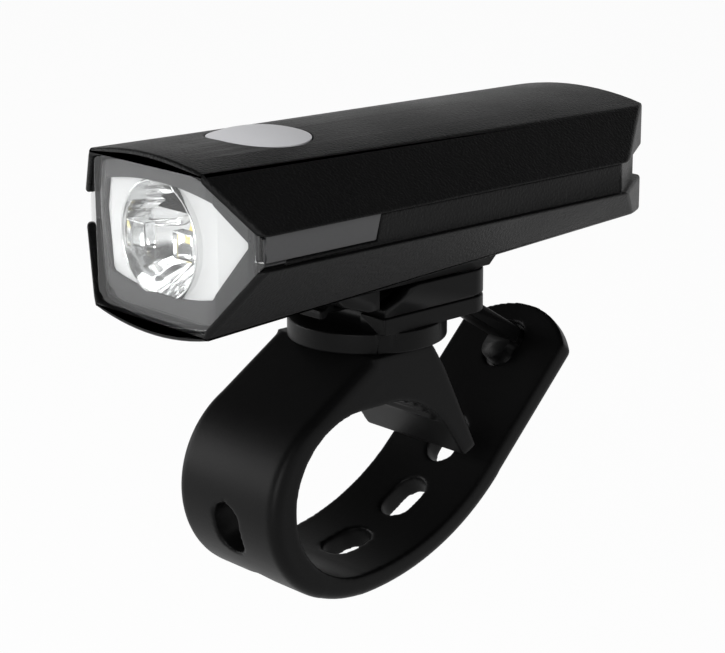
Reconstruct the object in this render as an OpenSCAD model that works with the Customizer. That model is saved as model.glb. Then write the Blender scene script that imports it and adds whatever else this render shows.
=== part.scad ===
// Handlebar headlight on a quick-release swivel bracket with a rubber strap.
// Frame: origin on the handlebar's axis, +X along the bar, +Y to the rider, +Z up, millimetres.

/* [Handlebar strap] */
// Diameter of the handlebar that the strap's bore holds
bar_d = 25.4; // [22:0.1:32]
// Width of the rubber strap along the bar
strap_w = 22.3; // [16:0.1:26]
// Thickness of the strap's band
strap_t = 3.55; // [2.6:0.05:5]
// Height of the saddle from the bore's top to the bracket base
saddle_h = 7.5; // [6.5:0.1:12]
// Inner radius of the long curve below the bar
tail_r = 37.3; // [32:0.1:45]
// Straight part of the tail, measured along its edges
tail_len = 20.7; // [17:0.1:26]
// Width of the strap's slots
slot_w = 5.7; // [4:0.1:7]
// Length of the strap's slots
slot_l = 8.3; // [6:0.1:9]

/* [Bracket] */
// Distance of the swivel axis behind the bar's axis
pivot_y = 10.95; // [8:0.05:14]
// Diameter of the bracket base's round disc
disc_d = 24.1; // [22.5:0.1:30]
// Thickness of the round disc
disc_t = 3.1; // [2.6:0.1:5]
// Height of the bracket base up to the swivel seam
base_h = 5.55; // [5:0.05:8]
// Width of the clip block
clip_w = 22.4; // [20.6:0.1:26]
// Height of the clip block above the seam
clip_h = 3.95; // [3.6:0.05:6]
// Swivel to each side
swivel_deg = 15; // [5:1:18]
// Gap between pieces that move past each other
fit = 0.3; // [0.2:0.05:0.5]

/* [Lamp body] */
// Length of the lamp's roof
lamp_len = 87.8; // [84:0.1:110]
// Front end of the roof ahead of the bar's axis
lamp_front = 29.75; // [28:0.05:36]
// Width over the side edges
lamp_w = 40.9; // [39:0.1:50]
// Width of the roof between its long edges
roof_w = 25.3; // [23:0.1:30]
// Width of the floor between its long edges, at the front
floor_w = 25.3; // [23:0.1:30]
// Middle of the side groove above the bracket base's underside
lamp_rise = 21.8; // [21.8:0.1:30]
// Height of the roof's long edges above the groove's middle
roof_h = 10.15; // [9.9:0.05:14]
// Depth of the floor's long edges below the groove's middle, at the front
floor_h = 12.5; // [11.6:0.1:13]
// Crown of the roof
roof_crown = 1.3; // [1:0.1:3]
// Crown of the floor
floor_crown = 1.6; // [1:0.1:2.2]
// Fall of the roof towards the rear
roof_drop = 1; // [0:0.1:1.2]
// Rise of the floor towards the rear
floor_rise = 4.6; // [3.8:0.1:5]
// Set-back of the side edges at the front
front_bevel = 4.6; // [2:0.1:6]
// Set-back of the side edges at the rear
rear_bevel = 11.8; // [6:0.1:13]
// Wall of the covers
wall = 1.7; // [1.4:0.1:2]
// Height of the side groove
groove_h = 4.6; // [4:0.1:5.4]
// Depth of the side groove
groove_d = 1.1; // [0.6:0.1:1.4]

/* [Optics] */
// Set-back of the lens behind the covers' front rim
lens_set = 0.7; // [0.4:0.1:1.5]
// Thickness of the lens
lens_t = 1.2; // [1:0.1:1.6]
// Length of the side windows behind the front rim
window_l = 25.9; // [18:0.1:27]
// Radius of the reflector bowl's rim
bowl_r = 8.2; // [7.5:0.1:9.5]
// Focal length of the bowl's parabola
bowl_f = 2.2; // [2.1:0.05:2.6]
// Distance of the bowl's axis below the groove's middle
bowl_drop = 1.1; // [0.6:0.1:1.6]

/* [Button and port] */
// Length of the power button across the lamp
button_l = 15.8; // [14:0.1:18]
// Width of the power button along the lamp
button_w = 13.6; // [9:0.1:14]
// Centre of the button behind the roof's front end
button_y = 20.2; // [19.6:0.05:22]
// Height of the button's dome above the roof
button_rise = 1.1; // [0.6:0.1:2]
// Travel of the button
button_travel = 0.6; // [0.3:0.1:0.7]

/* [Hidden] */
$fn = 96;
bar_r = bar_d / 2;
half_w = lamp_w / 2;
play = 0.05;
eps = 0.01;

// Heights of the bracket's stack, from the bar's axis upwards
z_base = bar_r + saddle_h;
z_disc = z_base + disc_t;
z_seam = z_base + base_h;
z_clip = z_seam + 0.2;
clip_floor = 1;
lip_t = 0.85;
z_clip_top = z_clip + clip_h;
z_rail0 = z_clip + clip_floor + fit;
z_rail1 = z_clip_top - lip_t - fit;
clip_y0 = pivot_y - 6.75;
clip_y1 = pivot_y + 15.8;
clip_wall = 2.4;
rail_hw = clip_w / 2 - clip_wall - fit;
neck_hw = rail_hw - 2.1;
boss_r = 4;
stop_r = 1.2;
stop_at = 7.8;
tongue_hw = 4;
tongue_y = pivot_y - 5.75;
tongue_z = z_clip + clip_floor / 2;
tongue_tip = tongue_y - 7;
recess_hw = tongue_hw + 2;

// Lamp section, plan and heights
lamp_z = z_base + lamp_rise;
z_g0 = lamp_z - groove_h / 2;
z_g1 = lamp_z + groove_h / 2;
z_roof = lamp_z + roof_h;
z_floor = lamp_z - floor_h;
y_front = -lamp_front;
y_rear = y_front + lamp_len;
roof_R = (pow(roof_w / 2, 2) + pow(roof_crown, 2)) / (2 * roof_crown);
floor_R = (pow(floor_w / 2, 2) + pow(floor_crown, 2)) / (2 * floor_crown);
roof_tilt = atan(roof_drop / lamp_len);
floor_tilt = atan(floor_rise / lamp_len);
up_slope = (half_w - roof_w / 2) / (z_roof - z_g1);
low_slope = (half_w - floor_w / 2) / (z_g0 - z_floor);
z_over = z_roof + roof_crown + 1;
z_under = z_floor - floor_crown - 1;

section = [
    [half_w, z_g0],
    [half_w, z_g1],
    [roof_w / 2 - up_slope * (z_over - z_roof), z_over],
    [-roof_w / 2 + up_slope * (z_over - z_roof), z_over],
    [-half_w, z_g1],
    [-half_w, z_g0],
    [-floor_w / 2 + low_slope * (z_floor - z_under), z_under],
    [floor_w / 2 - low_slope * (z_floor - z_under), z_under]
];

plan = [
    [-roof_w / 2, y_front],
    [roof_w / 2, y_front],
    [half_w, y_front + front_bevel],
    [half_w, y_rear - rear_bevel],
    [roof_w / 2, y_rear],
    [-roof_w / 2, y_rear],
    [-half_w, y_rear - rear_bevel],
    [-half_w, y_front + front_bevel]
];

// Inner heights, measured at the lamp's middle plane
function roof_in(y) = z_roof + roof_crown - roof_drop * (y - y_front) / lamp_len - wall;
function floor_in(y) = z_floor - floor_crown + floor_rise * (y - y_front) / lamp_len + wall;
function inner_w(z) = floor_w / 2 + low_slope * (z - z_floor) - wall * sqrt(1 + low_slope * low_slope);

// Stack behind the lens, as insets from the plan outline
seal_t = 0.4;
seal_w = 0.7;
frame_t = 0.8;
plate_t = 1;
d_lens = lens_set + lens_t;
d_frame = d_lens + seal_t;
d_plate = d_frame + frame_t;
rim_t = 1.1;
rim_gap = rim_t + play;
z_bowl = lamp_z - bowl_drop;
y_plate = y_front + d_plate;
hole_r = 2.6;
bowl_wall = 1;
bowl_depth = (bowl_r * bowl_r - hole_r * hole_r) / (4 * bowl_f);
y_board = y_plate + bowl_depth;
led_board_t = 1.6;
y_sink = y_board + led_board_t;
sink_t = 2.8;
sink_hw = 11.5;
led_screw_in = 2;
y_sink1 = y_sink + sink_t;
led_board_r = 8.2;
led_screw_x = 6.6;
lead_x = 4.6;
lead_r = 0.55;

// Button, board and cell
y_button = y_front + button_y;
z_button = roof_in(y_button) + wall;
flange_w = 1;
flange_t = 1;
z_flange = z_button - wall - fit - flange_t - pow(button_l / 2 + flange_w, 2) / (2 * roof_R);
pcb_t = 1.2;
pcb_z = roof_in(y_button) - 6.5;
pcb_top = pcb_z + pcb_t;
pcb_hw = 12;
pcb_y0 = y_sink1 + 0.8;
boss_y = y_rear - 10.5;
boss_x = 10;
pcb_y1 = boss_y - 7.5;
pcb_screw_x = 9.5;
pcb_screw_y = [y_button + button_w / 2 + 9.5, pcb_y1 - 4];
status_l = 1.6;
status_x = lead_x + lead_r + status_l / 2 + fit;
switch_w = 6;
switch_h = 3;
plunger_r = 1.7;
z_plunger = pcb_top + switch_h + 0.8;
cell_t = 8;
pad_t = 0.45;
cell_y0 = y_button + 2.75;
cell_y1 = boss_y - 8.5;
z_cell = floor_in(cell_y1) + 2.5;
cell_hw = min(13, inner_w(z_cell) - 1);
z_pad = z_cell - pad_t;
rib_y = [cell_y0 + 4, (cell_y0 + cell_y1) / 2 - 3, cell_y1 - 4];
foot_screw_y = [pivot_y - 3, pivot_y + 7];

// Charging port and its flap
usb_w = 9;
usb_h = 3.2;
z_usb = pcb_top + usb_h / 2;
inner_d = groove_d + wall;
usb_y1 = y_rear - inner_d;
frame_hw = half_w - max(inner_d, d_plate) - 0.15;
flap_hw = 7.2;
flap_z0 = z_usb - 1.5;
flap_z1 = z_usb + 2.5;
flap_depth = 0.9;
hinge_y = y_rear + 0.6;
hinge_z = flap_z0 - 1;
hinge_r = 0.8;
pin_r = 0.4;

black = [0.06, 0.06, 0.065];
soft_black = [0.045, 0.045, 0.05];
dark = [0.11, 0.11, 0.12];
steel = [0.62, 0.63, 0.65];

// Moves each edge of a counter-clockwise outline inwards by d
function left_of(a, b) = [a[1] - b[1], b[0] - a[0]] / norm(b - a);
function inset(p, d) = [
    for (i = [0 : len(p) - 1])
        let (
            a = left_of(p[(i + len(p) - 1) % len(p)], p[i]),
            b = left_of(p[i], p[(i + 1) % len(p)])
        )
        p[i] + d * (a + b) / (1 + a * b)
];

// Prism of a section in X and Z, along Y
module along_y(y0, y1) {
    translate([0, y1, 0])
        rotate([90, 0, 0])
            linear_extrude(height = y1 - y0)
                children();
}

// Prism of a profile in Y and Z, along X, centred
module along_x(w) {
    rotate([90, 0, 90])
        linear_extrude(height = w, center = true)
            children();
}

// Round-ended slot outline along X
module stadium(l, w) {
    square([l - w, w], center = true);
    for (s = [-1, 1])
        translate([s * (l - w) / 2, 0])
            circle(d = w);
}

module section_prism(d, y0 = y_front - 5, y1 = y_rear + 5) {
    along_y(y0, y1)
        polygon(inset(section, d));
}

module plan_prism(d, z0 = z_under, z1 = z_over) {
    translate([0, 0, z0])
        linear_extrude(height = z1 - z0)
            polygon(inset(plan, d));
}

// Band that follows the plan outline between two insets
module plan_band(d0, d1, z0 = z_under, z1 = z_over) {
    translate([0, 0, z0])
        linear_extrude(height = z1 - z0)
            difference() {
                polygon(inset(plan, d0));
                polygon(inset(plan, d1));
            }
}

module roof_round(d) {
    translate([0, y_front, z_roof + roof_crown - roof_R])
        rotate([-(90 + roof_tilt), 0, 0])
            translate([0, 0, -30])
                cylinder(r = roof_R - d, h = lamp_len + 60, $fn = 180);
}

module floor_round(d) {
    translate([0, y_front, z_floor - floor_crown + floor_R])
        rotate([-(90 - floor_tilt), 0, 0])
            translate([0, 0, -30])
                cylinder(r = floor_R - d, h = lamp_len + 60, $fn = 180);
}

module lamp_solid(d = 0) {
    intersection() {
        section_prism(d);
        plan_prism(d);
        roof_round(d);
        floor_round(d);
    }
}

// Room inside the covers, open to the front
module lamp_room(d = 0) {
    p = inset(plan, inner_d + d);
    intersection() {
        section_prism(wall + d, y_front - 10, y_rear);
        roof_round(wall + d);
        floor_round(wall + d);
        translate([0, 0, z_under])
            linear_extrude(height = z_over - z_under)
                polygon([
                    [-p[2][0], y_front - 10],
                    [p[2][0], y_front - 10],
                    p[3], p[4], p[5], p[6]
                ]);
    }
}

// Front plate that follows the rim's plan, between two insets
module front_plate(d0, d1, edge) {
    intersection() {
        section_prism(edge, y_front - 5, y_front + front_bevel + 4);
        plan_band(d0, d1);
        roof_round(edge);
        floor_round(edge);
    }
}

// Room for the lens and the stack behind it, inside the covers' front rim
module front_rebate() {
    front_plate(-3, lens_set, rim_t);
    intersection() {
        front_plate(lens_set - play, d_plate + plate_t + play, rim_t);
        translate([-frame_hw - play, y_front - 5, z_under])
            cube([2 * (frame_hw + play), lamp_len, z_over - z_under]);
    }
}

// Clear lens: front plate and the two side windows as one piece
module lens_body(g = 0) {
    front_plate(lens_set - g, d_lens + g, rim_gap - g);
    intersection() {
        difference() {
            plan_band(groove_d - g, groove_d + lens_t + g, z_g0 + 0.8 - g, z_g1 - 0.1 + g);
            translate([-frame_hw - 0.1 + g, y_front - 1, z_under])
                cube([2 * (frame_hw + 0.1 - g), lamp_len, z_over - z_under]);
        }
        along_x(2 * lamp_w)
            polygon([
                [y_front + d_lens, z_under],
                [y_front + window_l - 1.3 + g, z_under],
                [y_front + window_l - 1.3 + g, z_g0],
                [y_front + window_l + g, z_g1],
                [y_front + window_l + g, z_over],
                [y_front + d_lens, z_over]
            ]);
    }
}

// Pan-head screw along +Z, its head below z = 0
module screw_up(shank_r, shank_l, head_r, head_h) {
    translate([0, 0, -head_h / 4])
        cylinder(r = shank_r, h = shank_l + head_h / 4);
    translate([0, 0, -head_h])
        difference() {
            cylinder(r = head_r, h = head_h);
            translate([0, 0, -eps])
                cylinder(r = head_r * 0.45, h = head_h * 0.6, $fn = 6);
        }
}

// Insulated lead through a list of points
module lead(pts, r) {
    for (i = [0 : len(pts) - 2]) {
        v = pts[i + 1] - pts[i];
        translate(pts[i])
            rotate([0, acos(v[2] / norm(v)), atan2(v[1], v[0])])
                cylinder(r = r, h = norm(v), $fn = 24);
    }
    for (i = [1 : 1 : len(pts) - 2])
        translate(pts[i])
            sphere(r = r, $fn = 24);
}

// Strap

// Section of the band from r0 to r1, with its two outer edges rounded by e
module band_section(r0, r1, e, w = strap_w) {
    translate([r0, -w / 2])
        square([r1 - r0 - e, w]);
    translate([r0, -w / 2 + e])
        square([r1 - r0, w - 2 * e]);
    intersection() {
        for (s = [-1, 1])
            translate([r1 - e, s * (w / 2 - e)])
                circle(r = e);
        translate([r0, -w])
            square([r1 - r0 + 1, 2 * w]);
    }
}

// Front of the ring: thicker ahead of the bar than above and below it
ring_y = -2.05;
ring_z = -0.45;
ring_r = bar_r + strap_t - 1;
ring_a = 96;
edge_r = 1.6;
// Flatter arc from the ring's lower front to the bottom of the tail's curve
blend_a = 65;
blend_r = (bar_r + strap_t + ring_z - ring_r * sin(blend_a)) / (1 - sin(blend_a));
blend_y = ring_y + (blend_r - ring_r) * cos(blend_a);
blend_z = ring_z + (blend_r - ring_r) * sin(blend_a);
front_top = [2.1, z_base] - [ring_y, ring_z];
front_lean = atan2(front_top[1], front_top[0]) + acos(ring_r / norm(front_top));
front_l = sqrt(front_top * front_top - ring_r * ring_r);
front_in = ring_r - edge_r;
front_dir = [cos(front_lean), sin(front_lean)];
front_foot = [ring_y, ring_z] + front_in * front_dir;
front_head = front_foot + front_l * [front_dir[1], -front_dir[0]];

// Saddle and the front of the ring, with the bore for the bar
module saddle_and_ring() {
    difference() {
        union() {
            along_x(strap_w - 2 * play)
                saddle_profile();
            translate([0, ring_y, ring_z])
                rotate([front_lean, 0, 0])
                    translate([0, 0, -front_l])
                        linear_extrude(height = front_l + 1)
                            rotate([0, 0, 90])
                                band_section(ring_r - 5, ring_r - play, edge_r, strap_w - play);
            translate([0, ring_y, ring_z])
                rotate([90, 0, 90])
                    rotate([0, 0, 180 - ring_a])
                        rotate_extrude(angle = ring_a + blend_a + 2)
                            band_section(0, ring_r, edge_r);
            translate([0, blend_y, blend_z])
                rotate([90, 0, 90])
                    rotate([0, 0, 180 + blend_a - 1])
                        rotate_extrude(angle = 90 - blend_a + 3)
                            band_section(blend_r - 8, blend_r - play, edge_r, strap_w - play);
        }
        rotate([0, 90, 0])
            cylinder(r = bar_r, h = 2 * strap_w, center = true);
    }
}

tail_cz = tail_r - bar_r;
tail_turn = 45.4;
tail_dir = [cos(tail_turn), sin(tail_turn)];
tail_at = [tail_r * sin(tail_turn), tail_cz - tail_r * cos(tail_turn)];
tail_end = tail_len + 7.15;
tail_lap = 1.5;
tail_round = strap_w * 0.648;
tail_shoulder = tail_end - tail_round + sqrt(pow(tail_round - edge_r, 2) - pow(strap_w / 2 - edge_r, 2));
hook_s = tail_len - 0.7;
arm_w = 5.6;
function on_tail(s, h) = tail_at + s * tail_dir + h * [tail_dir[1], -tail_dir[0]];
arch_r = bar_r + 1.6;
leg_a = 34;
leg_at = [5.5 + arch_r * cos(leg_a), bar_r - arch_r + arch_r * sin(leg_a)];
leg_dir = [sin(leg_a), -cos(leg_a)];

module saddle_profile() {
    difference() {
        polygon([
            [0, bar_r - 1],
            front_foot,
            front_head,
            [front_top[0] + ring_y + 0.2, z_base],
            [pivot_y + 3.2, z_base],
            leg_at + [-0.6, 9.6],
            leg_at + leg_dir * 6.6 + [2.4, 1.2],
            leg_at + leg_dir * 6.6,
            leg_at,
            [5.5, bar_r - 1]
        ]);
        translate([5.5, bar_r - arch_r])
            circle(r = arch_r);
        square([5.5, bar_r]);
    }
}

// Slot tool: runs along -Z from its place, long side along X
module slot_tool(depth) {
    translate([0, 0, -depth])
        linear_extrude(height = 2 * depth)
            stadium(slot_l, slot_w);
}

module rubber_strap() {
    color(soft_black)
        difference() {
            union() {
                saddle_and_ring();
                translate([0, 0, tail_cz])
                    rotate([90, 0, 90])
                        rotate([0, 0, -90])
                            rotate_extrude(angle = tail_turn)
                                band_section(tail_r, tail_r + strap_t, edge_r);
                tail_plate();
                for (a = [86 : -9 : 41])
                    translate([0, 5.5 + arch_r * cos(a), bar_r - arch_r + arch_r * sin(a)])
                        rotate([0, 90, 0])
                            cylinder(r = 0.55, h = strap_w - 4, center = true, $fn = 24);
            }
            for (a = [194, 241])
                rotate([a, 0, 0])
                    translate([0, bar_r, 0])
                        rotate([90, 90, 0])
                            slot_tool(6);
            for (a = [10, 29.5, 48])
                translate([0, 0, tail_cz])
                    rotate([a - 90, 0, 0])
                        translate([0, tail_r + strap_t / 2, 0])
                            rotate([90, 90, 0])
                                slot_tool(4);
            translate([0, tail_at[0] + hook_s * tail_dir[0], tail_at[1] + hook_s * tail_dir[1]])
                rotate([tail_turn, 0, 0])
                    rotate([0, 0, 90])
                        slot_tool(6);
            for (s = [-1, 1])
                translate([s * 8.6, pivot_y - 4, z_base - 2.5])
                    linear_extrude(height = 5)
                        square([2.6 + 2 * play, 6 + 2 * play], center = true);
        }
}

// End of the strap: a straight tongue with a round end
module tail_plate() {
    translate([0, tail_at[0], tail_at[1]])
        rotate([tail_turn, 0, 0])
            intersection() {
                translate([0, -tail_lap, 0])
                    rotate([-90, 0, 0])
                        linear_extrude(height = tail_lap + tail_end + 1)
                            rotate([0, 0, 90])
                                band_section(play, strap_t - play, edge_r, strap_w - 2 * play);
                union() {
                    translate([-strap_w, -tail_lap - 1, -strap_t - 1])
                        cube([2 * strap_w, tail_shoulder + tail_lap + 1, strap_t + 2]);
                    translate([0, tail_end - tail_round, 0])
                        rotate_extrude() {
                            translate([0, edge_r - strap_t])
                                square([tail_round, strap_t - edge_r + 1]);
                            translate([0, -strap_t])
                                square([tail_round - edge_r, strap_t]);
                            intersection() {
                                translate([tail_round - edge_r, edge_r - strap_t])
                                    circle(r = edge_r);
                                translate([0, -2 * strap_t])
                                    square([2 * tail_round, 3 * strap_t]);
                            }
                        }
                }
            }
}

// Bracket

module clip_outline() {
    r = 4;
    difference() {
        translate([-clip_w / 2, clip_y0])
            square([clip_w, clip_y1 - clip_y0]);
        for (s = [-1, 1])
            translate([s * clip_w / 2, clip_y1])
                square(2 * r, center = true);
    }
    for (s = [-1, 1])
        translate([s * (clip_w / 2 - r), clip_y1 - r])
            circle(r = r);
}

module hook() {
    c = [pivot_y + 18.05, z_base + 2.4];
    b = tail_at + (hook_s + 2.2) * tail_dir;
    l = norm(b - c) - 0.8;
    d = (b - c) / norm(b - c);
    n = [-d[1], d[0]];
    along_x(arm_w)
        polygon([
            [pivot_y + 11, z_disc + 0.1],
            [pivot_y + 11, z_seam - 0.5],
            c - 2.5 * d + 0.85 * n,
            c + l * d + 0.85 * n,
            c + l * d - 1.65 * n,
            c - 2.5 * d - 1.65 * n
        ]);
    s1 = hook_s + slot_l / 2 - 0.6;
    translate([0, tail_at[0] + hook_s * tail_dir[0], tail_at[1] + hook_s * tail_dir[1]])
        rotate([tail_turn, 0, 0])
            rotate([0, 0, 90])
                translate([0, 0, -strap_t - 2])
                    linear_extrude(height = strap_t + 3.6)
                        stadium(slot_l - 0.9, slot_w - 0.9);
    along_x(slot_w - 1.1)
        polygon([
            on_tail(hook_s, strap_t + 0.5),
            on_tail(hook_s, strap_t + 1.9),
            on_tail(s1 - 1.6, strap_t + 2.4),
            on_tail(s1 + 0.8, strap_t + 2.2),
            on_tail(s1 + 1.8, strap_t + 0.5)
        ]);
}

module bracket_base() {
    color(dark)
        difference() {
            union() {
                translate([0, pivot_y, z_base])
                    cylinder(d = disc_d, h = disc_t);
                translate([0, 0, z_disc - 0.1])
                    linear_extrude(height = z_seam - z_disc + 0.1)
                        clip_outline();
                hook();
                for (s = [-1, 1])
                    translate([s * 8.6, pivot_y - 4, z_base - 2.4])
                        linear_extrude(height = 3)
                            square([2.6, 6], center = true);
            }
            translate([0, pivot_y, z_base - 5])
                cylinder(r = boss_r + play, h = base_h + 10);
            translate([0, pivot_y, z_base - 5])
                cylinder(r = boss_r + 2.8, h = 5 + 2);
            translate([-recess_hw, clip_y0 - 5, z_disc])
                cube([2 * recess_hw, 5 + tongue_y + 0.4 - clip_y0, base_h]);
            translate([0, pivot_y, z_seam - 1.7]) {
                rotate([0, 0, 90 - swivel_deg])
                    rotate_extrude(angle = 2 * swivel_deg)
                        translate([stop_at - stop_r - fit, 0])
                            square([2 * (stop_r + fit), 3]);
                for (s = [-1, 1])
                    rotate([0, 0, s * swivel_deg])
                        translate([0, stop_at, 0])
                            cylinder(r = stop_r + fit, h = 3);
            }
        }
}

module swivel_clip() {
    color(dark)
        difference() {
            union() {
                translate([0, 0, z_clip])
                    linear_extrude(height = clip_h)
                        clip_outline();
                translate([0, pivot_y, z_base + 1.9])
                    cylinder(r = boss_r, h = z_clip - z_base - 1.9 + eps);
                translate([0, pivot_y + stop_at, z_seam - 1.3])
                    cylinder(r = stop_r, h = z_clip - z_seam + 1.3 + eps);
            }
            translate([-rail_hw - fit, clip_y0 - 1, z_clip + clip_floor])
                cube([2 * (rail_hw + fit), clip_y1 - clip_wall - clip_y0 + 1, z_rail1 + fit - z_clip - clip_floor]);
            translate([-neck_hw - fit - 0.1, clip_y0 - 1, z_rail1])
                cube([2 * (neck_hw + fit + 0.1), clip_y1 - clip_wall - clip_y0 + 1, 10]);
            along_x(clip_w + 2)
                polygon([
                    [clip_y0 - 1, z_clip_top - 2.9],
                    [clip_y0, z_clip_top - 2.7],
                    [clip_y0 + 3, z_clip_top - 1.7],
                    [clip_y0 + 4.2, z_clip_top - 1],
                    [clip_y0 + 5, z_clip_top - 0.25],
                    [clip_y0 + 7, z_clip_top + eps],
                    [clip_y0 + 7, z_clip_top + 3],
                    [clip_y0 - 1, z_clip_top + 3]
                ]);
            translate([-tongue_hw - fit, clip_y0 - 1, z_clip - 1])
                cube([2 * (tongue_hw + fit), tongue_y - clip_y0 + 1, clip_floor + 2]);
            translate([0, tongue_y, tongue_z])
                rotate([0, 90, 0])
                    cylinder(r = 0.6, h = 2 * (tongue_hw + fit), center = true, $fn = 32);
            translate([0, pivot_y, z_base + 1])
                cylinder(r = 1.45, h = z_clip - z_base - 1.2);
        }
}

module pivot_washer() {
    color(steel)
        translate([0, pivot_y, z_base + 1.1])
            difference() {
                cylinder(r = boss_r + 2.4, h = 0.8);
                translate([0, 0, -1])
                    cylinder(r = 1.6, h = 3);
            }
}

module pivot_screw() {
    color(steel)
        translate([0, pivot_y, z_base + 1.1])
            screw_up(1.4, z_clip - z_base - 1.5, 3, 0.9);
}

module release_tongue() {
    z0 = tongue_z - 0.45;
    z1 = tongue_z + 0.35;
    color(dark)
        union() {
            translate([0, tongue_y, tongue_z])
                rotate([0, 90, 0])
                    cylinder(r = 0.5, h = 2 * tongue_hw, center = true, $fn = 32);
            along_x(2 * tongue_hw)
                polygon([
                    [tongue_y, z0],
                    [tongue_y, z1],
                    [tongue_tip + 2.9, z1],
                    [tongue_tip + 2.7, z_rail0 + 0.7],
                    [tongue_tip + 2, z_rail0 + 0.7],
                    [tongue_tip + 0.9, z1],
                    [tongue_tip + 0.3, z1],
                    [tongue_tip, z1 - 0.4],
                    [tongue_tip, z0 - 0.7],
                    [tongue_tip + 1, z0 - 0.7],
                    [tongue_tip + 1.6, z0]
                ]);
        }
}

// Lamp foot

foot_y0 = clip_y0 - 9;
foot_y1 = clip_y0 - 0.8;
foot_y2 = clip_y1 - clip_wall - fit;

module mount_foot() {
    color(dark)
        difference() {
            union() {
                translate([-rail_hw, foot_y1 - 1, z_rail0])
                    cube([2 * rail_hw, foot_y2 - foot_y1 + 1, z_rail1 - z_rail0]);
                translate([-neck_hw, foot_y1 - 1, z_rail0])
                    cube([2 * neck_hw, foot_y2 - foot_y1 + 1, 7]);
                along_x(clip_w - 0.4)
                    polygon([
                        [foot_y0 + 2, z_clip_top + fit],
                        [clip_y1 - 0.6, z_clip_top + fit],
                        [clip_y1 + 3.9, z_clip_top + fit + 4],
                        [foot_y0 + 2, z_clip_top + fit + 4]
                    ]);
                along_x(clip_w - 0.4)
                    polygon([
                        [foot_y0, z_clip_top + 0.3],
                        [foot_y0, z_clip_top + 4],
                        [foot_y1, z_clip_top + 4],
                        [foot_y1, z_rail0 - 0.1],
                        [foot_y1 - 2, z_rail0],
                        [foot_y0 + 1.3, z_clip_top - 1]
                    ]);
            }
            lamp_solid(-0.02);
            translate([-tongue_hw - fit, tongue_tip - 0.2, z_rail0 - 1])
                cube([2 * (tongue_hw + fit), 3.3, 2.1]);
            for (y = foot_screw_y)
                translate([0, y, z_rail0 - 1]) {
                    cylinder(r = 1.6, h = 12);
                    cylinder(r = 2.9, h = 1 + 1.3);
                }
        }
}

module foot_screws() {
    color(steel)
        for (y = foot_screw_y)
            translate([0, y, z_rail0 + 1.3])
                screw_up(1.3, z_pad - z_rail0 - 2.6, 2.6, 1.1);
}

// Lamp covers

module lower_case() {
    color(black)
        difference() {
            union() {
                difference() {
                    union() {
                        intersection() {
                            lamp_solid();
                            translate([-lamp_w, y_front - 1, z_under - 1])
                                cube([2 * lamp_w, lamp_len + 2, z_g0 - z_under + 1]);
                        }
                        intersection() {
                            lamp_solid();
                            plan_prism(groove_d, z_g0 - 2, z_g1 - 0.05);
                            translate([-lamp_w, y_front + d_plate, z_under])
                                cube([2 * lamp_w, lamp_len, z_over - z_under]);
                        }
                    }
                    lamp_room();
                }
                intersection() {
                    lamp_solid(0.4);
                    union() {
                        for (y = rib_y)
                            translate([-cell_hw + 1.5, y - 0.8, z_under])
                                cube([2 * cell_hw - 3, 1.6, z_pad - z_under]);
                        for (y = foot_screw_y)
                            translate([0, y, z_under])
                                cylinder(r = 3, h = z_pad - z_under);
                        for (s = [-1, 1])
                            translate([s * boss_x, boss_y, z_under])
                                cylinder(r = 2.6, h = z_g1 - 0.05 - z_under);
                    }
                }
            }
            lens_body(play);
            front_rebate();
            case_seal_ring(play);
            for (y = foot_screw_y)
                translate([0, y, z_under])
                    cylinder(r = 1.35, h = z_pad - z_under - 0.6);
            for (s = [-1, 1])
                translate([s * boss_x, boss_y, z_under]) {
                    cylinder(r = 1.1, h = 60);
                    cylinder(r = 2, h = z_g0 - 3 - z_under);
                }
        }
}

module case_seal_ring(g = 0) {
    intersection() {
        plan_band(groove_d + 0.55 - g, groove_d + 1.15 + g, z_g1 - 0.6 - g, z_g1 - 0.05);
        translate([-lamp_w, y_front + window_l + 1 - g, z_under])
            cube([2 * lamp_w, lamp_len, z_over - z_under]);
    }
}

module case_seal() {
    color([0.2, 0.2, 0.21])
        case_seal_ring();
}

module case_screws() {
    color(steel)
        for (s = [-1, 1])
            translate([s * boss_x, boss_y, z_g0 - 3])
                screw_up(0.95, groove_h + 5.5, 1.8, 1.2);
}

module top_cover() {
    color(black)
        difference() {
            union() {
                difference() {
                    intersection() {
                        lamp_solid();
                        translate([-lamp_w, y_front - 1, z_g1])
                            cube([2 * lamp_w, lamp_len + 2, z_over]);
                    }
                    lamp_room();
                }
                intersection() {
                    lamp_solid(0.4);
                    union() {
                        for (s = [-1, 1], y = pcb_screw_y)
                            translate([s * pcb_screw_x, y, pcb_top])
                                cylinder(r = 2.2, h = 20);
                        for (s = [-1, 1])
                            translate([s * boss_x, boss_y, z_g1])
                                cylinder(r = 2.6, h = 20);
                    }
                }
                flap_ears();
            }
            lens_body(play);
            front_rebate();
            translate([0, y_button, z_g1])
                linear_extrude(height = 30)
                    stadium(button_l + 2 * fit, button_w + 2 * fit);
            for (s = [-1, 1], y = pcb_screw_y)
                translate([s * pcb_screw_x, y, pcb_top - 1])
                    cylinder(r = 0.8, h = 3.6);
            for (s = [-1, 1])
                translate([s * boss_x, boss_y, z_g1 - 1])
                    cylinder(r = 0.95, h = 4);
            translate([-usb_w / 2 - 0.7, usb_y1 - 1, z_usb - usb_h / 2 - 0.2])
                cube([usb_w + 1.4, 10, usb_h + 1]);
            translate([-flap_hw - fit, y_rear - flap_depth, flap_z0 - fit])
                cube([2 * (flap_hw + fit), 5, flap_z1 - flap_z0 + 2 * fit]);
            translate([-4.6 - fit, y_rear - flap_depth, hinge_z - hinge_r - 0.6])
                cube([9.2 + 2 * fit, 5, flap_z0 - hinge_z + hinge_r + 1]);
            translate([0, hinge_y, hinge_z])
                rotate([0, 90, 0])
                    cylinder(r = pin_r + play, h = 2 * 6.1 + 0.2, center = true, $fn = 32);
        }
}

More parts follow.
